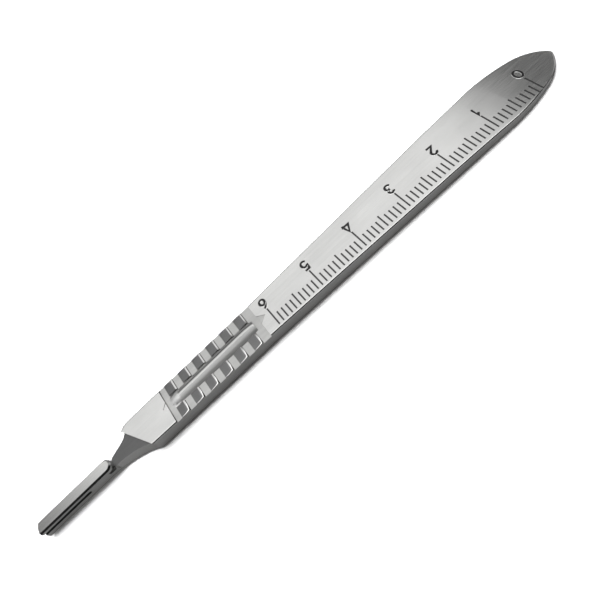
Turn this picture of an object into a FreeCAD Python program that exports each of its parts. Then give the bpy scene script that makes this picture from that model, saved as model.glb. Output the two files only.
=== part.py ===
import FreeCAD, Part
import Sketcher

import math
import os

# Scalpel handle with a blade fitting at the nose and a millimetre ruler on its upper face.
# Frame: X runs along the handle from the nose (-X) to the tail (+X), the ruled edge is at -Y,
# the flat back lies on Z = 0 and the ruled face looks up. The origin is the middle of the
# back face's bounding box.

SIZES = {
    # whole handle, in plan
    "overall_length": 124.0,
    "front_width": 7.5,
    "grip_end_width": 8.2,
    "widest_width": 11.5,
    "widest_from_tail": 14.2,
    "tail_side_radius": 33.0,
    "tail_tip_radius": 9.0,
    "tail_arch_split": 6.0,
    "tail_point_rounding": 1.2,
    "tail_point_setback": 0.18,
    # thickness, seen from the side
    "front_thickness": 3.5,
    "bend_thickness": 2.41,
    "bend_from_tail": 32.0,
    "bend_radius": 515.0,
    "edge_rounding": 0.33,
    # shoulder and neck
    "shoulder_reach": 26.8,
    "shoulder_angle": 32.0,
    "far_shoulder_setback": 3.6,
    "shoulder_round_radius": 3.4,
    "flare_length": 1.55,
    "flare_rise": 1.53,
    "flare_radius": 2.6,
    "neck_far_reach": 1.17,
    "neck_near_reach": 1.12,
    "neck_near_radius": 20.0,
    "neck_ridge_start": 0.6,
    "neck_ridge_rise": 1.15,
    "neck_lean": 14.0,
    "underside_slope_length": 6.5,
    "heel_length": 0.3,
    "bed_height": 2.05,
    "bed_angle": 3.6,
    # blade fitting
    "fitting_length": 17.9,
    "fitting_width": 2.5,
    "fitting_offset": 0.18,
    "fitting_top": 3.25,
    "fitting_bottom": 0.55,
    "fitting_front_rake": 0.1,
    "fitting_near_setback": 0.15,
    "fitting_far_setback": 0.6,
    "fitting_point_offset": 0.4,
    "fitting_edge_chamfer": 0.32,
    "blade_slot_length": 11.8,
    "blade_slot_height": 0.65,
    "blade_slot_depth": 0.55,
    "blade_slot_floor": 1.75,
    "blade_stop_length": 1.5,
    # grip panel, the same on both faces
    "grip_start": 32.4,
    "grip_end": 54.6,
    "tooth_count": 6,
    "tooth_pitch": 3.42,
    "tooth_length": 1.95,
    "tooth_rise": 0.14,
    "tooth_start": 1.25,
    "crest_length": 0.28,
    "crest_drop": 0.12,
    "valley_depth": 0.3,
    "wall_run": 0.06,
    "channel_width": 2.9,
    "rib_length": 20.05,
    "rib_start": 0.95,
    "rib_radius": 1.8,
    "rib_crown": 0.1,
    "rib_nose_length": 2.2,
    "rib_tail_length": 2.6,
    "front_arrow_length": 1.0,
    "front_arrow_width": 1.7,
    "rear_arrow_length": 1.5,
    "rear_arrow_width": 2.1,
    "arrow_depth": 0.1,
    # ruler
    "ruler_zero_from_tail": 7.0,
    "ruler_clearance": 1.2,
    "ruler_slope": 1.25,
    "ruler_edge_margin": 0.55,
    "tick_pitch": 1.0,
    "tick_width": 0.3,
    "tick_depth": 0.12,
    "millimetre_tick": 2.35,
    "half_tick": 3.0,
    "centimetre_tick": 4.2,
}

# How far cutting shapes reach past the metal
CLEAR = 1.0
# The finished faces show nothing smaller than this
TINY = 0.001

doc = FreeCAD.newDocument("scalpel_handle")


def fill_sheet(document, sizes):
    """Put each driving dimension in the sheet, as plain text with its own alias."""
    page = document.addObject("Spreadsheet::Sheet", "Sizes")
    for row, (alias, number) in enumerate(sizes.items(), start=1):
        page.set("A%d" % row, alias)
        page.set("B%d" % row, str(number))
        page.setAlias("B%d" % row, alias)
    document.recompute()
    return page


sheet = fill_sheet(doc, SIZES)


def value(expression):
    """The number that an expression on the sheet gives now."""
    return float(sheet.evalExpression(str(expression)))


def size(alias):
    """An expression that reads one cell of the sheet."""
    return "Sizes." + alias


# Stations along X, each an expression on the sheet
NOSE = "(-%s / 2)" % size("overall_length")
TAIL = "(%s / 2)" % size("overall_length")
SHOULDER = "(%s + %s)" % (NOSE, size("shoulder_reach"))
FITTING_END = "(%s + %s)" % (NOSE, size("fitting_length"))
GRIP_START = "(%s + %s)" % (NOSE, size("grip_start"))
GRIP_END = "(%s + %s)" % (NOSE, size("grip_end"))
TAIL_POINT = "(%s + %s)" % (TAIL, size("tail_point_setback"))
WIDEST = "(%s - %s)" % (TAIL, size("widest_from_tail"))
BEND = "(%s - %s)" % (TAIL, size("bend_from_tail"))
ZERO = "(%s - %s)" % (TAIL, size("ruler_zero_from_tail"))
FRONT_HALF = "(%s / 2)" % size("front_width")
GRIP_HALF = "(%s / 2)" % size("grip_end_width")
WIDEST_HALF = "(%s / 2)" % size("widest_width")
FITTING_HALF = "(%s / 2)" % size("fitting_width")
# How much thickness the upper face loses per millimetre, from the shoulder to the bend
TAPER = "((%s - %s) / (%s - %s))" % (
    size("front_thickness"), size("bend_thickness"), BEND, SHOULDER)


def top_at(x, depth="0"):
    """Height of the flat part of the upper face at station x, less a depth below it."""
    return "(%s - %s * (%s - %s) - %s)" % (
        size("front_thickness"), TAPER, x, SHOULDER, depth)


class Outline:
    """A closed outline of straight and round stretches whose corners follow the sheet."""

    def __init__(self, body, name, role, lift="0", turn=None):
        self.sketch = body.newObject("Sketcher::SketchObject", name)
        plane = [f for f in body.Origin.OriginFeatures if f.Role == role][0]
        self.sketch.AttachmentSupport = [(plane, "")]
        self.sketch.MapMode = "FlatFace"
        if turn is not None:
            self.sketch.AttachmentOffset = FreeCAD.Placement(
                FreeCAD.Vector(0, 0, 0), FreeCAD.Rotation(FreeCAD.Vector(0, 1, 0), 1.0))
            self.sketch.setExpression("AttachmentOffset.Rotation.Angle", turn["angle"])
            self.sketch.setExpression("AttachmentOffset.Base.x", turn["x"])
        self.sketch.setExpression("AttachmentOffset.Base.z", lift)
        self.count = 0

    def fix_point(self, piece, end, x, y):
        """Hold one end of a stretch at a place that the sheet gives."""
        for kind, place in (("DistanceX", x), ("DistanceY", y)):
            index = self.sketch.addConstraint(
                Sketcher.Constraint(kind, -1, 1, piece, end, value(place)))
            name = "%s%d" % (kind[-1].lower(), self.count)
            self.sketch.renameConstraint(index, name)
            self.sketch.setExpression("Constraints." + name, str(place))
        self.count += 1

    def loop(self, corners):
        """Join corners (x, y) or (x, y, radius) in a ring; a radius bows the stretch after
        its corner, to the left of its run where it is negative."""
        first = self.sketch.GeometryCount
        total = len(corners)
        for index, corner in enumerate(corners):
            start = FreeCAD.Vector(value(corner[0]), value(corner[1]), 0)
            following = corners[(index + 1) % total]
            end = FreeCAD.Vector(value(following[0]), value(following[1]), 0)
            if len(corner) == 2:
                self.sketch.addGeometry(Part.LineSegment(start, end))
            else:
                self.sketch.addGeometry(self.bow(start, end, value(corner[2])))
        for index, corner in enumerate(corners):
            piece = first + index
            before = first + (index - 1) % total
            self.sketch.addConstraint(Sketcher.Constraint(
                "Coincident", before, self.end_of(corners[index - 1], False),
                piece, self.end_of(corner, True)))
            self.fix_point(piece, self.end_of(corner, True), corner[0], corner[1])
            if len(corner) == 3:
                radius = self.sketch.addConstraint(
                    Sketcher.Constraint("Radius", piece, abs(value(corner[2]))))
                name = "r%d" % self.count
                self.sketch.renameConstraint(radius, name)
                self.sketch.setExpression("Constraints." + name, "abs(%s)" % corner[2])
        return self

    @staticmethod
    def bow(start, end, radius):
        """An arc from start to end; a positive radius bows it to the right of its run."""
        chord = end - start
        half = chord.Length / 2
        rise = abs(radius) - math.sqrt(max(radius * radius - half * half, 0.0))
        side = FreeCAD.Vector(chord.y, -chord.x, 0).normalize()
        middle = start + chord * 0.5 + side * (rise if radius > 0 else -rise)
        return Part.Arc(start, middle, end)

    @staticmethod
    def end_of(corner, at_start):
        """Which end of a stretch is meant; an arc that turns right is held the other way."""
        turns_right = len(corner) == 3 and value(corner[2]) < 0
        return 2 if at_start == turns_right else 1


def pad(body, name, outline, length, symmetric=False):
    """Raise an outline into metal."""
    feature = body.newObject("PartDesign::Pad", name)
    feature.Profile = outline.sketch
    feature.FuzzyTolerance = 0.0
    feature.Refine = False
    feature.setExpression("Length", str(length))
    if symmetric:
        feature.SideType = "Symmetric"
    doc.recompute()
    return feature


def cut(body, name, outline, length, symmetric=False, reverse=False, upright=False):
    """Cut an outline out of the metal, and make sure that it took something away."""
    before = body.Shape.Volume
    feature = body.newObject("PartDesign::Pocket", name)
    feature.Profile = outline.sketch
    feature.FuzzyTolerance = 0.0
    feature.Refine = False
    feature.setExpression("Length", str(length))
    feature.Reversed = reverse
    if symmetric:
        feature.SideType = "Symmetric"
    if upright:
        feature.UseCustomVector = True
        feature.Direction = FreeCAD.Vector(0, 0, -1)
    doc.recompute()
    if body.Shape.Volume > before - TINY:
        raise RuntimeError(name + " cuts nothing")
    return feature


def dress(body, kind, name, test, alias):
    """Round or chamfer the edges of the newest feature whose sampled points pass a test."""
    base = body.Tip
    edges = []
    for number, edge in enumerate(base.Shape.Edges, start=1):
        if test(edge.discretize(5)):
            edges.append("Edge%d" % number)
    if not edges:
        raise RuntimeError(name + " finds no edge")
    feature = body.newObject("PartDesign::" + kind, name)
    feature.Base = (base, edges)
    feature.setExpression("Radius" if kind == "Fillet" else "Size", size(alias))
    doc.recompute()
    if "Invalid" in feature.State or not feature.Shape.isValid():
        raise RuntimeError(name + " can't be made")
    return feature


def upright_at(x, y):
    """A test for an edge that stands on the point (x, y)."""
    place = FreeCAD.Vector(value(x), value(y), 0)
    return lambda points: all(
        math.hypot(point.x - place.x, point.y - place.y) < TINY for point in points)


def sunk(surface, points):
    """Whether all points lie on a surface given as a height over each x."""
    return all(abs(point.z - surface(point.x)) < 10 * TINY for point in points)


def make_silhouette(body):
    """The whole plan: blade fitting, waisted neck, body and arched tail."""
    near_side = "(%s - %s)" % (size("fitting_offset"), FITTING_HALF)
    far_side = "(%s + %s)" % (size("fitting_offset"), FITTING_HALF)
    tip_y = "(%s - %s)" % (size("fitting_offset"), size("fitting_point_offset"))
    round_start = "(%s - %s)" % (FITTING_END, FITTING_HALF)
    far_shoulder = "(%s - %s)" % (SHOULDER, size("far_shoulder_setback"))
    flare_x = "(%s - %s)" % (far_shoulder, size("flare_length"))
    flare_y = "(%s - %s)" % (FRONT_HALF, size("flare_rise"))
    split_x = "(%s - %s)" % (TAIL, size("tail_arch_split"))
    drop = "(%s - sqrt(%s^2 - (%s - %s)^2))" % (
        size("tail_side_radius"), size("tail_side_radius"), split_x, WIDEST)
    split_y = "(%s - %s)" % (WIDEST_HALF, drop)
    outline = Outline(body, "silhouette", "XY_Plane")
    outline.loop([
        (NOSE, tip_y),
        ("(%s + %s)" % (NOSE, size("fitting_near_setback")), near_side),
        (round_start, near_side),
        (FITTING_END, "-" + size("neck_near_reach"), "-" + size("neck_near_radius")),
        (SHOULDER, "-" + FRONT_HALF),
        (GRIP_END, "-" + GRIP_HALF),
        (WIDEST, "-" + WIDEST_HALF, size("tail_side_radius")),
        (split_x, "-" + split_y, size("tail_tip_radius")),
        (TAIL_POINT, "0", size("tail_tip_radius")),
        (split_x, split_y, size("tail_side_radius")),
        (WIDEST, WIDEST_HALF),
        (GRIP_END, GRIP_HALF),
        (far_shoulder, FRONT_HALF),
        (flare_x, flare_y),
        (FITTING_END, size("neck_far_reach")),
        (round_start, far_side),
        ("(%s + %s)" % (NOSE, size("fitting_far_setback")), far_side),
    ])
    pad(body, "blank", outline, top_at(NOSE))
    dress(body, "Fillet", "tail_point", upright_at(TAIL_POINT, "0"), "tail_point_rounding")
    dress(body, "Fillet", "far_shoulder", upright_at(far_shoulder, FRONT_HALF),
          "shoulder_round_radius")
    dress(body, "Fillet", "far_flare", upright_at(flare_x, flare_y), "flare_radius")


def round_outline(body):
    """Break the long edges of the back and of the upper face, from the neck to the tail."""
    fitting_end = value(FITTING_END)
    bend = value(BEND)
    radius = value(size("bend_radius"))

    def crest(x):
        sag = radius - math.sqrt(radius * radius - max(x - bend, 0.0) ** 2)
        return value(top_at("%.9f" % x)) - sag

    def outer(points):
        return points[len(points) // 2].x > fitting_end

    def on_back(points):
        return sunk(lambda x: 0.0, points) and outer(points)

    def on_top(points):
        return sunk(crest, points) and outer(points)

    dress(body, "Fillet", "back_rounding", on_back, "edge_rounding")
    dress(body, "Fillet", "upper_rounding", on_top, "edge_rounding")


def make_side_profile(body):
    """Taper the upper face, bend it down at the tail, and thin the fitting and neck."""
    above = "(%s + %g)" % (top_at(NOSE), CLEAR)
    before_nose = "(%s - %g)" % (NOSE, CLEAR)
    past_tail = "(%s + %g)" % (TAIL, CLEAR)
    reach = "(%s - %s)" % (past_tail, BEND)
    bend_drop = "(%s * %s + %s - sqrt(%s^2 - %s^2))" % (
        TAPER, reach, size("bend_radius"), size("bend_radius"), reach)
    outline = Outline(body, "upper_line", "XZ_Plane")
    outline.loop([
        (before_nose, top_at(before_nose)),
        (BEND, top_at(BEND), "-" + size("bend_radius")),
        (past_tail, "(%s - %s)" % (top_at(BEND), bend_drop)),
        (past_tail, above),
        (before_nose, above),
    ])
    cut(body, "upper_taper", outline, "2 * " + size("widest_width"), symmetric=True)
    round_outline(body)
    below = "(-%g)" % CLEAR
    rise_end = "(%s + %s)" % (FITTING_END, size("underside_slope_length"))
    outline = Outline(body, "fitting_underside", "XZ_Plane")
    outline.loop([
        (before_nose, below),
        (rise_end, below),
        (rise_end, "0"),
        (FITTING_END, size("fitting_bottom")),
        (before_nose, size("fitting_bottom")),
    ])
    cut(body, "underside_step", outline, "2 * " + size("widest_width"), symmetric=True)
    raked = "(%s + %s)" % (NOSE, size("fitting_front_rake"))
    outline = Outline(body, "fitting_upper_line", "XZ_Plane")
    outline.loop([
        (before_nose, size("blade_slot_floor")),
        (NOSE, size("blade_slot_floor")),
        (raked, size("fitting_top")),
        (FITTING_END, size("fitting_top")),
        (FITTING_END, above),
        (before_nose, above),
    ])
    cut(body, "fitting_step", outline, "2 * " + size("widest_width"), symmetric=True)


def lean_neck(body):
    """Lean the neck's near side inwards, from the silhouette up to a ridge along the bed."""
    side = size("widest_width")
    ridge_y = "(%s - %s)" % (FRONT_HALF, size("neck_ridge_rise"))
    ridge_x = "(%s - %s * tan(%s))" % (SHOULDER, size("neck_ridge_rise"), size("shoulder_angle"))
    outline = Outline(body, "lean_outline", "XY_Plane",
                      lift="(%s + tan(%s) * (%s - %s))" % (
                          size("bed_height"), size("bed_angle"), SHOULDER, FITTING_END))
    outline.loop([
        (FITTING_END, "-" + side),
        (SHOULDER, "-" + side),
        (SHOULDER, "-" + FRONT_HALF),
        (ridge_x, "-" + ridge_y, size("neck_near_radius")),
        (FITTING_END, "-" + size("neck_ridge_start")),
    ])
    feature = cut(body, "neck_lean", outline, size("front_thickness"))
    feature.setExpression("TaperAngle", "-" + size("neck_lean"))
    doc.recompute()


def make_blade_bed(body):
    """The sunk, rising bed that the blade's heel lies on, up to the slanted shoulder."""
    side = size("widest_width")
    lean = "(%s * tan(%s))" % (side, size("shoulder_angle"))
    near_lean = "(%s * tan(%s))" % (FRONT_HALF, size("shoulder_angle"))
    round_start = "(%s - %s)" % (FITTING_END, FITTING_HALF)
    heel = "(%s + %s)" % (FITTING_END, size("heel_length"))
    near = "(%s - %s)" % (size("fitting_offset"), FITTING_HALF)
    far = "(%s + %s)" % (size("fitting_offset"), FITTING_HALF)
    outline = Outline(body, "heel_outline", "XY_Plane", lift=size("bed_height"))
    outline.loop([
        (round_start, "-" + side),
        (heel, "-" + side),
        (heel, side),
        (round_start, side),
        (round_start, far, "-" + FITTING_HALF),
        (FITTING_END, size("fitting_offset"), "-" + FITTING_HALF),
        (round_start, near),
    ])
    cut(body, "heel", outline, top_at(NOSE), reverse=True)
    shoulder_middle = "(%s - %s)" % (SHOULDER, near_lean)
    along = "(%s - %s) / cos(%s)"
    outline = Outline(
        body, "bed_outline", "XY_Plane", lift=size("bed_height"),
        turn={"angle": "-" + size("bed_angle"), "x": heel})
    outline.loop([
        ("0", "-" + side),
        (along % ("%s + %s" % (shoulder_middle, lean), heel, size("bed_angle")), "-" + side),
        (along % ("%s - %s" % (shoulder_middle, lean), heel, size("bed_angle")), side),
        ("0", side),
    ])
    cut(body, "blade_bed", outline, top_at(NOSE), reverse=True, upright=True)


def make_blade_slots(body):
    """A slot along each side of the fitting for the blade's edges, and a stop behind it."""
    top = "(%s + %s)" % (size("blade_slot_floor"), size("blade_slot_height"))
    half_height = "(%s / 2)" % size("blade_slot_height")
    slot_end = "(%s + %s - %s)" % (NOSE, size("blade_slot_length"), half_height)
    stop_start = "(%s - %s)" % (FITTING_END, size("blade_stop_length"))
    for name, hand in (("near", -1), ("far", 1)):
        skin = "(%s + %d * (%s + %g))" % (size("fitting_offset"), hand, FITTING_HALF, CLEAR)
        outline = Outline(body, name + "_slot_outline", "XZ_Plane", lift="-" + skin)
        outline.loop([
            ("(%s - %g)" % (NOSE, CLEAR), size("blade_slot_floor")),
            (slot_end, size("blade_slot_floor"), half_height),
            (slot_end, top),
            ("(%s - %g)" % (NOSE, CLEAR), top),
        ])
        depth = "%s + %g" % (size("blade_slot_depth"), CLEAR)
        cut(body, name + "_slot", outline, depth, reverse=hand > 0)
        outline = Outline(body, name + "_stop_outline", "XZ_Plane", lift="-" + skin)
        outline.loop([
            (stop_start, size("blade_slot_floor")),
            (FITTING_END, size("blade_slot_floor")),
            (FITTING_END, top),
            (stop_start, top),
        ])
        cut(body, name + "_stop", outline, depth, reverse=hand > 0)
    chamfer_fitting(body)


def chamfer_fitting(body):
    """Bevel the fitting's upper rim, the straight far side first and then the rounded rest."""
    top_height = value(size("fitting_top"))
    front = value("(%s + %s)" % (NOSE, size("fitting_far_setback")))
    end = value(FITTING_END)
    axis = value(size("fitting_offset"))

    def on_rim(points, far):
        middle = points[len(points) // 2]
        on_top = sunk(lambda x: top_height, points) and front < middle.x < end
        return on_top and (min(point.y for point in points) > axis + TINY) == far

    dress(body, "Chamfer", "far_rim", lambda points: on_rim(points, True),
          "fitting_edge_chamfer")
    dress(body, "Chamfer", "near_rim", lambda points: on_rim(points, False),
          "fitting_edge_chamfer")


def grip_profile(level):
    """Corners of the toothed cut seen from the side; level(x, depth) gives a height."""
    valley = size("valley_depth")
    panel = "(%s + %s)" % (GRIP_START, size("wall_run"))
    corners = [(GRIP_START, level(GRIP_START, "(-%g)" % CLEAR)),
               (GRIP_START, level(GRIP_START, "0")),
               (panel, level(panel, valley))]
    for index in range(int(value(size("tooth_count")))):
        foot = "(%s + %s + %d * %s)" % (
            GRIP_START, size("tooth_start"), index, size("tooth_pitch"))
        before = "(%s - %s)" % (foot, size("wall_run"))
        edge = "(%s + %s)" % (foot, size("tooth_length"))
        crest = "(%s - %s)" % (edge, size("crest_length"))
        after = "(%s + %s)" % (edge, size("wall_run"))
        corners.append((before, level(before, valley)))
        corners.append((foot, level(foot, size("tooth_rise"))))
        corners.append((crest, level(crest, "0")))
        corners.append((edge, level(edge, size("crest_drop"))))
        corners.append((after, level(after, valley)))
    last = "(%s - %s)" % (GRIP_END, size("wall_run"))
    corners.append((last, level(last, valley)))
    corners.append((GRIP_END, level(GRIP_END, "0")))
    corners.append((GRIP_END, level(GRIP_END, "(-%g)" % CLEAR)))
    return corners


def make_grip(body):
    """Toothed panel with a lengthwise rib, on the upper face and on the back."""
    faces = (("upper", top_at, size("rib_crown"), "-"),
             ("back", lambda x, depth: "(%s)" % depth, "0", ""))
    for name, level, crown, turn in faces:
        outline = Outline(body, name + "_teeth", "XZ_Plane")
        outline.loop(grip_profile(level))
        cut(body, name + "_grip", outline, "2 * " + size("widest_width"), symmetric=True)
        channel_end = "(%s + %s + %s)" % (GRIP_START, size("rib_start"), size("rib_length"))
        channel_start = "(%s + %s)" % (GRIP_START, size("wall_run"))
        outline = Outline(body, name + "_channel", "XZ_Plane")
        outline.loop([
            (channel_start, level(channel_start, size("valley_depth"))),
            (channel_end, level(channel_end, size("valley_depth"))),
            (channel_end, level(channel_end, "(-%g)" % CLEAR)),
            (channel_start, level(channel_start, "(-%g)" % CLEAR)),
        ])
        cut(body, name + "_rib_channel", outline, size("channel_width"), symmetric=True)
        make_rib(body, name, level, crown, turn)
        make_arrow(body, name + "_front_arrow", level, GRIP_START, "-", "front_arrow", turn)
        make_arrow(body, name + "_rear_arrow", level, GRIP_END, "+", "rear_arrow", turn)


def make_arrow(body, name, level, station, way, kind, turn):
    """A shallow three-cornered mark that points away from an end of the panel."""
    half = "(%s / 2)" % size(kind + "_width")
    tip = "(%s %s %s)" % (station, way, size(kind + "_length"))
    outline = Outline(body, name + "_outline", "XY_Plane",
                      lift=level(station, size("arrow_depth")))
    outline.loop([(station, "-" + half), (tip, "0"), (station, half)])
    cut(body, name, outline, "%g" % CLEAR, reverse=turn == "-")


def make_rib(body, name, level, crown, turn):
    """A bar whose crown is part of a long spindle, drawn down to the channel at both ends."""
    valley = size("valley_depth")
    centre = "(%s - %s)" % (size("rib_radius"), crown)
    above = "(-%s)" % crown
    start = "(%s + %s)" % (GRIP_START, size("rib_start"))
    end = "(%s + %s)" % (start, size("rib_length"))
    front = "(%s + %s)" % (start, size("rib_nose_length"))
    waist = "(%s - %s)" % (end, size("rib_tail_length"))
    height = "(%s + %s)" % (valley, crown)
    bow = "((%s^2 + %s^2) / (2 * %s))"
    outline = Outline(body, name + "_rib_profile", "XZ_Plane")
    outline.loop([
        (start, level(start, valley),
         turn + bow % (size("rib_nose_length"), height, height)),
        (front, level(front, above)),
        (waist, level(waist, above), turn + bow % (size("rib_tail_length"), height, height)),
        (end, level(end, valley)),
        (end, level(end, centre)),
        (start, level(start, centre)),
    ])
    axis = outline.sketch.addGeometry(Part.LineSegment(
        FreeCAD.Vector(value(start), value(level(start, centre)), 0),
        FreeCAD.Vector(value(end), value(level(end, centre)), 0)), True)
    outline.fix_point(axis, 1, start, level(start, centre))
    outline.fix_point(axis, 2, end, level(end, centre))
    rib = body.newObject("PartDesign::Revolution", name + "_rib")
    rib.Profile = outline.sketch
    rib.ReferenceAxis = (outline.sketch, ["Axis0"])
    rib.Angle = 360
    rib.FuzzyTolerance = 0.0
    rib.Refine = False
    doc.recompute()
    return rib


def make_ruler(body):
    """Sixty-one millimetre ticks, longer at each fifth and tenth, sunk to an even depth."""
    marks = doc.addObject("PartDesign::Body", "ruler_marks")
    reach = "(%s - %s - %s)" % (ZERO, GRIP_END, size("ruler_clearance"))
    edge_gap = "(%s + %s)" % (size("edge_rounding"), size("ruler_edge_margin"))
    foot = "(%s - %s)" % (edge_gap, WIDEST_HALF)
    rows = (("millimetre", "millimetre_tick", 1), ("half", "half_tick", 5),
            ("centimetre", "centimetre_tick", 10))
    for name, length, step in rows:
        outline = Outline(marks, name + "_mark", "XY_Plane")
        left = "(%s - %s / 2)" % (ZERO, size("tick_width"))
        right = "(%s + %s / 2)" % (ZERO, size("tick_width"))
        head = "(%s + %s)" % (foot, size(length))
        outline.loop([(left, foot), (right, foot), (right, head), (left, head)])
        far_end = "(%s - %s)" % (ZERO, reach)
        climb = "(%s + %s * tan(%s))" % (foot, reach, size("ruler_slope"))
        line = outline.sketch.addGeometry(Part.LineSegment(
            FreeCAD.Vector(value(ZERO), value(foot), 0),
            FreeCAD.Vector(value(far_end), value(climb), 0)), True)
        outline.fix_point(line, 1, ZERO, foot)
        outline.fix_point(line, 2, far_end, climb)
        mark = pad(marks, name + "_bar", outline, size("front_thickness"))
        row = marks.newObject("PartDesign::LinearPattern", name + "_row")
        row.Originals = [mark]
        row.Direction = (outline.sketch, ["Axis0"])
        row.Mode = "Spacing"
        row.FuzzyTolerance = 0.0
        row.Refine = False
        run = "(%d * %s / cos(%s))" % (step, size("tick_pitch"), size("ruler_slope"))
        row.setExpression("Offset", run)
        row.setExpression("Occurrences", "floor(%s / (%d * %s)) + 1" % (
            reach, step, size("tick_pitch")))
        marks.Tip = row
        doc.recompute()
    below = "(-%g)" % CLEAR
    start = "(%s - %g)" % (GRIP_END, CLEAR)
    past_tail = "(%s + %g)" % (TAIL, CLEAR)
    run = "(%s - %s)" % (past_tail, BEND)
    inner = "(%s - %s)" % (size("bend_radius"), size("tick_depth"))
    drop = "(%s * %s + %s - sqrt(%s^2 - %s^2))" % (
        TAPER, run, inner, inner, run)
    outline = Outline(marks, "floor_line", "XZ_Plane")
    outline.loop([
        (start, below),
        (past_tail, below),
        (past_tail, "(%s - %s)" % (top_at(BEND, size("tick_depth")), drop), inner),
        (BEND, top_at(BEND, size("tick_depth"))),
        (start, top_at(start, size("tick_depth"))),
    ])
    cut(marks, "marks_floor", outline, "2 * " + size("widest_width"), symmetric=True)
    before = body.Shape.Volume
    ruler = body.newObject("PartDesign::Boolean", "ruler")
    ruler.Type = "Cut"
    ruler.FuzzyTolerance = 0.0
    ruler.setObjects([marks])
    doc.recompute()
    if body.Shape.Volume > before - TINY:
        raise RuntimeError("the ruler cuts nothing")


def check(document):
    """Stop if any object failed or a sub-part's shape is empty or broken."""
    for item in document.Objects:
        if "Invalid" in item.State or "Error" in item.State:
            raise RuntimeError("%s: %s" % (item.Label, item.State))


handle = doc.addObject("PartDesign::Body", "handle")
handle.Label = "handle"
make_silhouette(handle)
make_side_profile(handle)
lean_neck(handle)
make_blade_bed(handle)
make_blade_slots(handle)
make_grip(handle)
make_ruler(handle)
doc.recompute()
check(doc)
if handle.Shape.isNull() or not handle.Shape.isValid():
    raise RuntimeError("the handle's shape is broken")
if len(handle.Shape.Solids) != 1:
    raise RuntimeError("the handle isn't one solid")
os.makedirs("parts", exist_ok=True)
handle.Shape.exportStep("parts/%s.step" % handle.Label)
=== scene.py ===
import math

import bmesh
import bpy
import numpy as np
from mathutils import Matrix, Vector


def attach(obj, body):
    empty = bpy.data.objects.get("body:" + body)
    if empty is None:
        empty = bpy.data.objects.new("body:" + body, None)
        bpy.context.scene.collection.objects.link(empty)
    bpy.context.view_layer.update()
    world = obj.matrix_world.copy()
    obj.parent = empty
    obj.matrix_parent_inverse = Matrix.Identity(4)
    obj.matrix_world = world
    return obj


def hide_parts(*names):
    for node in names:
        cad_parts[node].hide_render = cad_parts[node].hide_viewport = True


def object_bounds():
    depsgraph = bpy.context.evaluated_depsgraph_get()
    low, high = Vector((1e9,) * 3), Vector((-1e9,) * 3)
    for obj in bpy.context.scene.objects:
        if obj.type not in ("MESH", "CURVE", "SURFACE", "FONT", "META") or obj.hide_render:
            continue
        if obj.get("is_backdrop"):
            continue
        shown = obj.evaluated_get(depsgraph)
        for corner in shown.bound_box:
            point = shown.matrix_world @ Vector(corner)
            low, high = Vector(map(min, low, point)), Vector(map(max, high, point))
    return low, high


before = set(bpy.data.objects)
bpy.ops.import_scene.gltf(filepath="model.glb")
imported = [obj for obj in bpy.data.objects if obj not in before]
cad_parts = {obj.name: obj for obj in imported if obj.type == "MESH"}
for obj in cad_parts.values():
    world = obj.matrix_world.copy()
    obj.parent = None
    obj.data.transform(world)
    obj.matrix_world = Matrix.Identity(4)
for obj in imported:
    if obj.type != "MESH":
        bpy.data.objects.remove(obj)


def plain(value):
    """The same value as plain lists and numbers, ready to be written."""
    if isinstance(value, dict):
        return {key: plain(item) for key, item in value.items()}
    if isinstance(value, (list, tuple)) or hasattr(value, "to_tuple"):
        return [plain(item) for item in value]
    return value if isinstance(value, (str, int, bool)) else float(value)


START_BOUNDS = plain(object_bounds())
MM = 0.001

# Camera, fitted to the ruler's ticks and both outlines
CAMERA_TILT = math.radians(34.0)
CAMERA_TURN = math.radians(1.94)
CAMERA_ROLL = math.radians(-43.68)
CAMERA_DISTANCE = 101.2 * MM
CAMERA_AIM = Vector((0.2 * MM, -0.86 * MM, 0.0))
CAMERA_LENS = 34.02
SENSOR = 36.0

# The upper face in millimetres: height, taper, and the bend at the tail
SHOULDER_X = -35.2
FRONT_TOP = 3.5
BEND_X = 30.0
BEND_TOP = 2.41
BEND_RADIUS = 515.0
TAPER = (FRONT_TOP - BEND_TOP) / (BEND_X - SHOULDER_X)

# The outline behind the shoulder in millimetres: half widths, their slopes, and the tail
HALF_AT_GRIP = 4.1
FRONT_SPREAD = 0.0126
REAR_SPREAD = 0.0299
TAIL_X = 47.8
HALF_AT_TAIL = 5.75
TAIL_ROUNDING = 66.0

# The blade fitting and the bed behind it in millimetres
FITTING_END_X = -43.9
FITTING_MIDDLE_Y = 0.18
FITTING_HALF = 1.24
SLOT_START_X = -61.9
SLOT_END_X = -49.9
SLOT_MIDDLE_Z = 1.75
SLOT_HALF = 0.34
BED_START_X = -44.2
BED_LOW_Z = 2.0
BED_HIGH_Z = 2.7

# The grip panel and its rib in millimetres
GRIP_START_X = -29.6
GRIP_END_X = -7.4
RIB_START_X = -28.7
RIB_END_X = -8.5
RIB_HALF = 1.42
DOME_LENGTH = 2.0
TEETH_INNER_Y = 1.3
ARROW_LENGTH = 1.6
ARROW_HALF = 1.1

# Places in the list of finishes. SATIN is the steel's own colour; the others carry painted shade,
# painted light or a painted highlight in their colour.
SATIN, MATT_PAINTED_SHADE, ROUGH_PAINTED_LIGHT, RECESS_PAINTED_SHADE, PAINTED_SHADE, TICK_PAINTED_SHADE, PAINTED_HIGHLIGHT = range(7)

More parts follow.
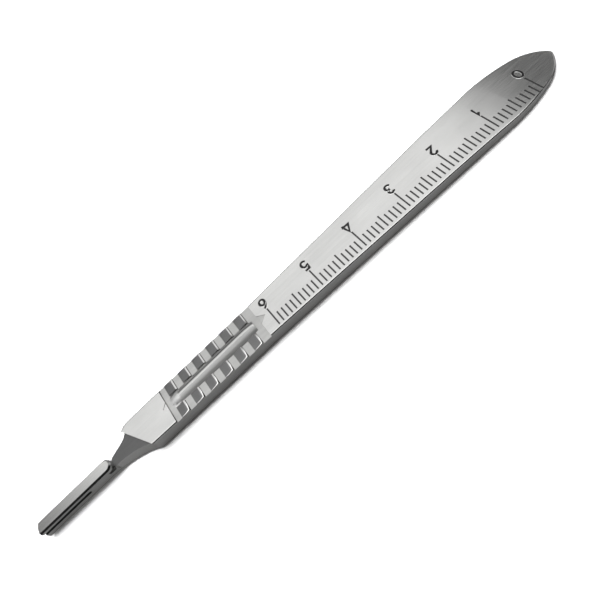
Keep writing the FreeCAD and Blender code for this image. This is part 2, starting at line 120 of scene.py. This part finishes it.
# The ruler and its numerals in millimetres
RULER_START_X = -5.5
RULER_FAR_Y = 2.0
SPARE_TICK_X = -6.0
TICK_REACH = 0.3
ZERO_X = 55.0
NUMERAL_WIDTH = 1.31
NUMERAL_HEIGHT = 2.0
NUMERAL_Y = (0.92, 0.92, 1.07, 1.37, 1.49, 1.79, 1.92)
GROOVE_HALF = 0.145
LIP_AT = 0.2
BEAD_HALF = 0.26
BEAD_FOOT = -0.03
GROOVE_HEIGHT = 0.004
LIP_HEIGHT = 0.02

# The paper, as the camera and as the metal see it
FLOOR_WHITE = 3.4
FLOOR_GREY = 0.55
FLOOR_GLOW = 0.005
FLOOR_REACH = 1.5
FLOOR_Z = -0.02 * MM

# The light tent: strengths, and where each edge starts and ends as a tangent
SKY_FRONT = 0.01
SKY_SIDE = 0.12
SKY_ZENITH = 2.2
SKY_BEHIND = 0.92
SKY_ENDS = 0.35
SKY_LOW = 0.35
WINDOW_NOSE_EDGE = (-0.86, -0.58)
WINDOW_TAIL_EDGE = (0.81, 0.56)
WINDOW_FRONT_EDGE = (-0.08, 0.05)
WINDOW_BACK_EDGE = (1.45, 1.1)
ZENITH_EDGE = (0.3, 0.45)


def crest(x):
    """Height of the upper face at x, in millimetres: a straight taper and then an arc."""
    sag = BEND_RADIUS - np.sqrt(BEND_RADIUS ** 2 - np.maximum(x - BEND_X, 0.0) ** 2)
    return FRONT_TOP - TAPER * (x - SHOULDER_X) - sag


def half_width(x):
    """Half of the handle's width at x behind the shoulder, in millimetres."""
    behind_grip = x - GRIP_END_X
    spread = np.where(behind_grip < 0.0, FRONT_SPREAD, REAR_SPREAD)
    past = np.maximum(x - TAIL_X, 0.0)
    return np.where(x > TAIL_X, HALF_AT_TAIL - past ** 2 / TAIL_ROUNDING,
                    HALF_AT_GRIP + behind_grip * spread)


def add_camera():
    """Camera on a line from the aim point, tilted towards the ruled edge and rolled."""
    back = Vector((math.sin(CAMERA_TURN),
                   -math.sin(CAMERA_TILT) * math.cos(CAMERA_TURN),
                   math.cos(CAMERA_TILT) * math.cos(CAMERA_TURN)))
    along = Vector((1, 0, 0))
    right = (along - back * along.dot(back)).normalized()
    up = back.cross(right)
    across = right * math.cos(CAMERA_ROLL) + up * math.sin(CAMERA_ROLL)
    upward = up * math.cos(CAMERA_ROLL) - right * math.sin(CAMERA_ROLL)
    place = CAMERA_AIM + back * CAMERA_DISTANCE
    data = bpy.data.cameras.new("camera")
    data.lens = CAMERA_LENS
    data.sensor_width = SENSOR
    data.clip_start = 1 * MM
    data.clip_end = 20.0
    camera = bpy.data.objects.new("camera", data)
    bpy.context.scene.collection.objects.link(camera)
    camera.matrix_world = Matrix((
        (across.x, upward.x, back.x, place.x),
        (across.y, upward.y, back.y, place.y),
        (across.z, upward.z, back.z, place.z),
        (0, 0, 0, 1)))
    bpy.context.scene.camera = camera


class Nodes:
    """Short names for building a node tree."""

    def __init__(self, tree):
        self.tree = tree
        tree.nodes.clear()

    def add(self, kind, **settings):
        node = self.tree.nodes.new(kind)
        for key, item in settings.items():
            setattr(node, key, item)
        return node

    def join(self, source, target):
        self.tree.links.new(source, target)

    def feed(self, target, item):
        """Link a socket, or set a plain value."""
        if isinstance(item, bpy.types.NodeSocket):
            self.join(item, target)
        else:
            target.default_value = item

    def math(self, operation, a, b=0.0, clamp=False):
        node = self.add("ShaderNodeMath", operation=operation, use_clamp=clamp)
        self.feed(node.inputs[0], a)
        self.feed(node.inputs[1], b)
        return node.outputs[0]

    def times(self, first, *others):
        for other in others:
            first = self.math("MULTIPLY", first, other)
        return first

    def plus(self, first, *others):
        for other in others:
            first = self.math("ADD", first, other)
        return first

    def ramp(self, item, low, high, start=0.0, end=1.0):
        """Smooth step of item from low to high, giving start to end."""
        node = self.add("ShaderNodeMapRange", interpolation_type="SMOOTHSTEP")
        for target, number in zip(node.inputs[:5], (item, low, high, start, end)):
            self.feed(target, number)
        return node.outputs[0]

    def noise(self, vector, scale, detail=3.0):
        node = self.add("ShaderNodeTexNoise")
        self.join(vector, node.inputs["Vector"])
        node.inputs["Scale"].default_value = scale
        node.inputs["Detail"].default_value = detail
        return node.outputs["Fac"]

    def stretched(self, vector, scale):
        node = self.add("ShaderNodeMapping")
        self.join(vector, node.inputs["Vector"])
        node.inputs["Scale"].default_value = scale
        return node.outputs["Vector"]

    def shade(self, colour, tone):
        """A plain colour scaled by a tone."""
        node = self.add("ShaderNodeVectorMath", operation="SCALE")
        node.inputs[0].default_value = colour
        self.feed(node.inputs["Scale"], tone)
        return node.outputs[0]


def metal(name, colour, streak, cloud, roughness, bump):
    """Metal with long fine streaks and faint cloudy stains, laid on object coordinates."""
    material = bpy.data.materials.new(name)
    material.use_nodes = True
    n = Nodes(material.node_tree)
    out = n.add("ShaderNodeOutputMaterial")
    surface = n.add("ShaderNodeBsdfPrincipled")
    n.join(surface.outputs[0], out.inputs["Surface"])
    place = n.add("ShaderNodeTexCoord").outputs["Object"]
    streaks = n.noise(n.stretched(place, (60, 3500, 3500)), 1.0, 4.0)
    clouds = n.noise(n.stretched(place, (90, 200, 200)), 1.0, 3.0)
    tone = n.plus(n.times(n.plus(streaks, -0.5), streak), n.times(n.plus(clouds, -0.5), cloud), 1.0)
    n.join(n.shade(colour, tone), surface.inputs["Base Color"])
    surface.inputs["Metallic"].default_value = 1.0
    n.join(n.plus(n.times(streaks, 0.12), roughness), surface.inputs["Roughness"])
    relief = n.add("ShaderNodeBump")
    relief.inputs["Strength"].default_value = bump
    relief.inputs["Distance"].default_value = 0.02 * MM
    n.join(streaks, relief.inputs["Height"])
    n.join(relief.outputs[0], surface.inputs["Normal"])
    return material


def floor_material():
    """White table paper that reads grey in the metal."""
    material = bpy.data.materials.new("paper")
    material.use_nodes = True
    n = Nodes(material.node_tree)
    out = n.add("ShaderNodeOutputMaterial")
    path = n.add("ShaderNodeLightPath").outputs["Is Camera Ray"]
    lit = n.add("ShaderNodeBsdfDiffuse")
    n.join(n.shade((1.0, 1.0, 1.0), FLOOR_WHITE), lit.inputs["Color"])
    dull = n.add("ShaderNodeBsdfDiffuse")
    dull.inputs["Color"].default_value = (FLOOR_GREY, FLOOR_GREY, FLOOR_GREY, 1)
    glow = n.add("ShaderNodeEmission")
    glow.inputs["Strength"].default_value = FLOOR_GLOW
    both = n.add("ShaderNodeAddShader")
    n.join(dull.outputs[0], both.inputs[0])
    n.join(glow.outputs[0], both.inputs[1])
    mix = n.add("ShaderNodeMixShader")
    n.join(path, mix.inputs[0])
    n.join(both.outputs[0], mix.inputs[1])
    n.join(lit.outputs[0], mix.inputs[2])
    n.join(mix.outputs[0], out.inputs["Surface"])
    return material


def add_sky():
    """A light tent: a window above and behind, a dimmer end past the tail, dark in front.

    along is x over height and across is y over height, so each is the tangent of an angle
    from the upright. The camera itself sees only white.
    """
    world = bpy.data.worlds.new("tent")
    bpy.context.scene.world = world
    world.use_nodes = True
    n = Nodes(world.node_tree)
    out = n.add("ShaderNodeOutputWorld")
    background = n.add("ShaderNodeBackground")
    n.join(background.outputs[0], out.inputs["Surface"])
    split = n.add("ShaderNodeSeparateXYZ")
    n.join(n.add("ShaderNodeTexCoord").outputs["Generated"], split.inputs[0])
    x, y, z = split.outputs
    height = n.math("MAXIMUM", z, 0.05)
    along = n.math("DIVIDE", x, height)
    across = n.math("DIVIDE", y, height)
    window = n.times(n.ramp(along, *WINDOW_NOSE_EDGE), n.ramp(along, *WINDOW_TAIL_EDGE),
                     n.ramp(across, *WINDOW_FRONT_EDGE), n.ramp(across, *WINDOW_BACK_EDGE))
    bright = n.times(window, n.ramp(across, *ZENITH_EDGE, SKY_ZENITH, SKY_BEHIND))
    ends = n.times(n.ramp(along, 1.0, 1.3), n.ramp(across, -0.5, 0.0),
                   n.ramp(across, 1.6, 1.0), SKY_ENDS)
    base = n.math("MAXIMUM", n.ramp(across, -0.2, 0.1, SKY_FRONT, SKY_SIDE),
                  n.ramp(z, 0.45, 0.2, 0.0, SKY_LOW))
    tent = n.plus(base, n.math("MAXIMUM", bright, ends))
    seen = n.add("ShaderNodeLightPath").outputs["Is Camera Ray"]
    n.join(n.math("MAXIMUM", tent, seen), background.inputs["Strength"])
    background.inputs["Color"].default_value = (1, 1, 1, 1)


def add_floor():
    """Flat paper far past the picture's edges."""
    mesh = bpy.data.meshes.new("floor")
    corners = [(x * FLOOR_REACH, y * FLOOR_REACH, FLOOR_Z)
               for x, y in ((-1, -1), (1, -1), (1, 1), (-1, 1))]
    mesh.from_pydata(corners, [], [(0, 1, 2, 3)])
    floor = bpy.data.objects.new("floor", mesh)
    bpy.context.scene.collection.objects.link(floor)
    mesh.materials.append(floor_material())
    floor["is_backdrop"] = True


def finish_of_faces(mesh):
    """Which finish each face has, as its place in the list of finishes."""
    count = len(mesh.polygons)
    centre = np.empty(count * 3)
    normal = np.empty(count * 3)
    mesh.polygons.foreach_get("center", centre)
    mesh.polygons.foreach_get("normal", normal)
    x, y, z = (centre.reshape(-1, 3) / MM).T
    nx, ny, nz = normal.reshape(-1, 3).T
    deep = np.where(nz > 0, crest(x) - z, z)
    finish = np.full(count, SATIN, dtype=np.int32)
    in_panel = (x > GRIP_START_X) & (x < GRIP_END_X) & (np.abs(y) < half_width(x) - 0.1)
    # Floors of the hollows in the grip panel: darker steel, painted shade.
    finish[in_panel & (np.abs(nz) > 0.9) & (deep > 0.2)] = RECESS_PAINTED_SHADE
    # Tilted tops of the teeth: darker, rougher steel; the darkness is painted shade for tops that
    # face away from the light.
    sloping = (np.abs(nz) > 0.95) & (nx < -0.03) & (nx > -0.2)
    on_teeth = in_panel & (np.abs(y) > TEETH_INNER_Y)
    finish[on_teeth & sloping] = MATT_PAINTED_SHADE
    # Walls of the teeth: near-black steel, painted shade.
    finish[on_teeth & (nx > 0.6) & (deep > 0.08)] = PAINTED_SHADE
    on_rib = (np.abs(y) < RIB_HALF) & (x > RIB_START_X) & (x < RIB_END_X) & (deep < 0.28)
    # Near side of the rib: paler, rougher steel; the paleness is painted light on a side the lamps
    # leave dark.
    finish[on_rib & in_panel & (ny < -0.1)] = ROUGH_PAINTED_LIGHT
    # Front dome of the rib: near-white steel, a painted highlight.
    finish[on_rib & in_panel & (x < RIB_START_X + DOME_LENGTH) & (nz > 0.3)] = PAINTED_HIGHLIGHT
    # Bed behind the fitting: the same darker steel, painted shade.
    bed = (nz > 0.98) & (x > BED_START_X) & (x < SHOULDER_X) & (z > BED_LOW_Z) & (z < BED_HIGH_Z)
    finish[bed] = MATT_PAINTED_SHADE
    # Tick floors and walls: near-black steel, painted shade in the grooves.
    on_ruler = (nz > -0.1) & (x > RULER_START_X) & (y > 0.12 - half_width(x)) & (y < RULER_FAR_Y)
    ticks = on_ruler & (deep > 0.03) & (deep < 0.2) & ((nz < 0.5) | (deep > 0.1))
    finish[ticks] = TICK_PAINTED_SHADE
    # Rear arrow: darker steel on its floor and near-black steel on its walls, both painted shade.
    arrow = (deep > 0.04) & (deep < 0.16) & (np.abs(y) < ARROW_HALF) & (nz > -0.1)
    rear = arrow & (x > GRIP_END_X) & (x < GRIP_END_X + ARROW_LENGTH)
    finish[rear] = np.where(nz[rear] > 0.9, RECESS_PAINTED_SHADE, PAINTED_SHADE)
    # Front arrow: near-white steel on its floor, a painted highlight.
    front = arrow & (x < GRIP_START_X) & (x > GRIP_START_X - ARROW_LENGTH)
    finish[front & (nz > 0.9)] = PAINTED_HIGHLIGHT
    # Blade slot: near-black steel, painted shade inside the slot.
    slot = (np.abs(z - SLOT_MIDDLE_Z) < SLOT_HALF) & (np.abs(y - FITTING_MIDDLE_Y) < FITTING_HALF)
    finish[slot & (x > SLOT_START_X) & (x < SLOT_END_X)] = PAINTED_SHADE
    return finish


def soft_limit(middle):
    """The largest angle between two faces that still look like one smooth surface there."""
    x, y = middle.x / MM, middle.y / MM
    if GRIP_START_X - 0.1 < x < GRIP_END_X + 0.1 and abs(y) < half_width(x) - 0.4:
        return math.radians(40 if abs(y) < RIB_HALF and RIB_START_X < x < RIB_END_X else 15)
    return math.radians(30 if x < FITTING_END_X else 50)


def fill_spare_tick(work):
    """Close the one tick that lies past the last numeral: its floor moves up to its rim."""
    near = [v for v in work.verts
            if abs(v.co.x / MM - SPARE_TICK_X) < TICK_REACH and -3.7 < v.co.y / MM < -1.0]
    deep = {v: crest(v.co.x / MM) - v.co.z / MM for v in near}
    rim = [v for v in near if abs(deep[v]) < 0.02]
    for v in near:
        if 0.02 < deep[v] < TICK_REACH:
            v.co = min(rim, key=lambda r: (r.co.xy - v.co.xy).length).co


def handle_skin(finishes):
    """A merged copy of the handle's own mesh, smooth across soft edges."""
    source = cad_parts["handle"]
    mesh = source.data.copy()
    mesh.name = "handle_skin"
    work = bmesh.new()
    work.from_mesh(mesh)
    fill_spare_tick(work)
    bmesh.ops.remove_doubles(work, verts=work.verts, dist=1e-7)
    for edge in work.edges:
        middle = (edge.verts[0].co + edge.verts[1].co) / 2
        edge.smooth = len(edge.link_faces) == 2 and edge.calc_face_angle(0.0) < soft_limit(middle)
    for face in work.faces:
        face.smooth = True
    work.to_mesh(mesh)
    work.free()
    mesh.materials.clear()
    for material in finishes:
        mesh.materials.append(material)
    mesh.polygons.foreach_set("material_index", finish_of_faces(mesh))
    skin = bpy.data.objects.new("handle_skin", mesh)
    bpy.context.scene.collection.objects.link(skin)
    weighted = skin.modifiers.new("normals", "WEIGHTED_NORMAL")
    weighted.mode = "FACE_AREA"
    weighted.weight = 50
    weighted.keep_sharp = True
    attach(skin, "root")
    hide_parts("handle")
    return skin


def arc(x, y, across, up, start, end, steps=14):
    """Points x + across·cos(t), y + up·sin(t) for t from start to end in degrees."""
    turn = np.radians(np.linspace(start, end, steps))
    return np.column_stack((x + across * np.cos(turn), y + up * np.sin(turn)))


def line(*points):
    return np.array(points, dtype=float)


def numeral_strokes(digit):
    """Strokes of a digit in a box from (-0.5, -0.5) to (0.5, 0.5), each a row of points."""
    if digit == 0:
        return [arc(-0.06, 0, 0.5, 0.5, 90, 450, 28)]
    if digit == 1:
        return [line((-0.3, 0.2), (-0.12, 0.32), (0.05, 0.5), (0.05, -0.5))]
    if digit == 2:
        return [np.vstack((arc(0, 0.2, 0.4, 0.3, 170, -20), line((-0.42, -0.5), (0.45, -0.5))))]
    if digit == 3:
        return [np.vstack((arc(0, 0.25, 0.36, 0.25, 160, -80), arc(0, -0.23, 0.42, 0.27, 80, -160)))]
    if digit == 4:
        return [line((0.34, -0.5), (0.42, -0.3), (-0.5, -0.3), (0.1, 0.46), (0.42, -0.3))]
    if digit == 5:
        return [np.vstack((line((0.38, 0.5), (-0.3, 0.5), (-0.36, 0.08)),
                           arc(-0.02, -0.17, 0.42, 0.33, 130, -150, 18)))]
    return [arc(0, -0.2, 0.4, 0.3, 90, 450, 24),
            arc(0.35, -0.15, 0.75, 0.65, 100, 175, 12)]


def bead(path):
    """A shallow groove with raised lips along a path of (x, y) in millimetres.

    The section at arc length s has corners (a, h): the point is P(s) + a·N(s) in plan, at
    height crest(x) + h. Returns points, faces and a finish for each face.
    """
    right = [(BEAD_HALF, BEAD_FOOT), (BEAD_HALF, 0.0), (LIP_AT, LIP_HEIGHT),
             (GROOVE_HALF, GROOVE_HEIGHT)]
    section = np.array([(-BEAD_HALF, BEAD_FOOT)] + right + [(-a, h) for a, h in right[:0:-1]])
    ring = bool(np.allclose(path[0], path[-1]))
    spine = path[:-1] if ring else path
    ahead = np.roll(spine, -1, axis=0) - spine
    behind = spine - np.roll(spine, 1, axis=0)
    if not ring:
        ahead[-1] = behind[-1]
        behind[0] = ahead[0]
    unit_a = ahead / np.linalg.norm(ahead, axis=1)[:, None]
    unit_b = behind / np.linalg.norm(behind, axis=1)[:, None]
    run = unit_a + unit_b
    run /= np.linalg.norm(run, axis=1)[:, None]
    stretch = 1.0 / np.maximum(np.sum(run * unit_a, axis=1), 0.6)
    side = np.column_stack((-run[:, 1], run[:, 0])) * stretch[:, None]
    place = spine[:, None, :] + section[None, :, :1] * side[:, None, :]
    height = crest(place[..., 0]) + section[None, :, 1]
    points = np.dstack((place, height)).reshape(-1, 3)
    rows, columns = len(spine), len(section)
    r, c = np.meshgrid(np.arange(rows if ring else rows - 1), np.arange(columns), indexing="ij")
    after, beside = (r + 1) % rows, (c + 1) % columns
    faces = np.stack((r * columns + c, after * columns + c,
                      after * columns + beside, r * columns + beside), axis=-1).reshape(-1, 4)
    # The groove's own faces get finish 1, near-black steel: painted shade in the groove.
    inner = (c >= 3) & (c <= 5)
    finish = np.where(inner, 1, 0).reshape(-1)
    faces = faces.tolist()
    finish = finish.tolist()
    if not ring:
        faces.append(list(range(columns)))
        faces.append([(rows - 1) * columns + k for k in reversed(range(columns))])
        finish += [0, 0]
    return points, faces, finish


# dark is the near-black steel painted into the numerals' grooves as shade.
def add_numerals(steel, dark):
    """The numerals 0 to 6, one at each tenth tick, read with the ruled edge on top."""
    points, faces, finish, total = [], [], [], 0
    for digit, y in enumerate(NUMERAL_Y):
        for stroke in numeral_strokes(digit):
            path = np.column_stack((ZERO_X - 10 * digit - stroke[:, 0] * NUMERAL_WIDTH,
                                    y - stroke[:, 1] * NUMERAL_HEIGHT))
            p, f, m = bead(path)
            points.append(p)
            faces += [[k + total for k in face] for face in f]
            finish += m
            total += len(p)
    mesh = bpy.data.meshes.new("numerals")
    mesh.from_pydata((np.vstack(points) * MM).tolist(), [], faces)
    mesh.materials.append(steel)
    mesh.materials.append(dark)
    mesh.polygons.foreach_set("material_index", finish)
    work = bmesh.new()
    work.from_mesh(mesh)
    bmesh.ops.recalc_face_normals(work, faces=work.faces)
    work.to_mesh(mesh)
    work.free()
    numerals = bpy.data.objects.new("numerals", mesh)
    bpy.context.scene.collection.objects.link(numerals)
    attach(numerals, "root")


finishes = (
    metal("satin", (0.65, 0.65, 0.64), 0.16, 0.3, 0.12, 0.12),
    # Darker, rougher steel: the roughness is a finish, the darkness is painted shade.
    metal("matt_painted_shade", (0.2, 0.2, 0.2), 0.3, 0.1, 0.38, 0.2),
    # Paler, rougher steel: the roughness is a finish, the paleness is painted light.
    metal("rough_painted_light", (0.8, 0.8, 0.79), 0.5, 0.4, 0.6, 0.2),
    # Darker steel for floors of hollows: painted shade.
    metal("recess_painted_shade", (0.5, 0.5, 0.49), 0.3, 0.5, 0.28, 0.2),
    # Near-black steel: painted shade.
    metal("dark", (0.05, 0.05, 0.05), 0.2, 0.0, 0.45, 0.0),
    # Near-black steel for the ticks: painted shade.
    metal("tick_painted_shade", (0.11, 0.11, 0.11), 0.2, 0.0, 0.45, 0.0),
    # Near-white steel: a painted highlight.
    metal("bright", (0.95, 0.95, 0.94), 0.1, 0.1, 0.5, 0.0),
)
handle_skin(finishes)
add_numerals(finishes[SATIN], finishes[PAINTED_SHADE])
add_floor()
add_sky()
add_camera()
bpy.context.scene.view_settings.view_transform = "Standard"

{"start": START_BOUNDS, "end": plain(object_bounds())}
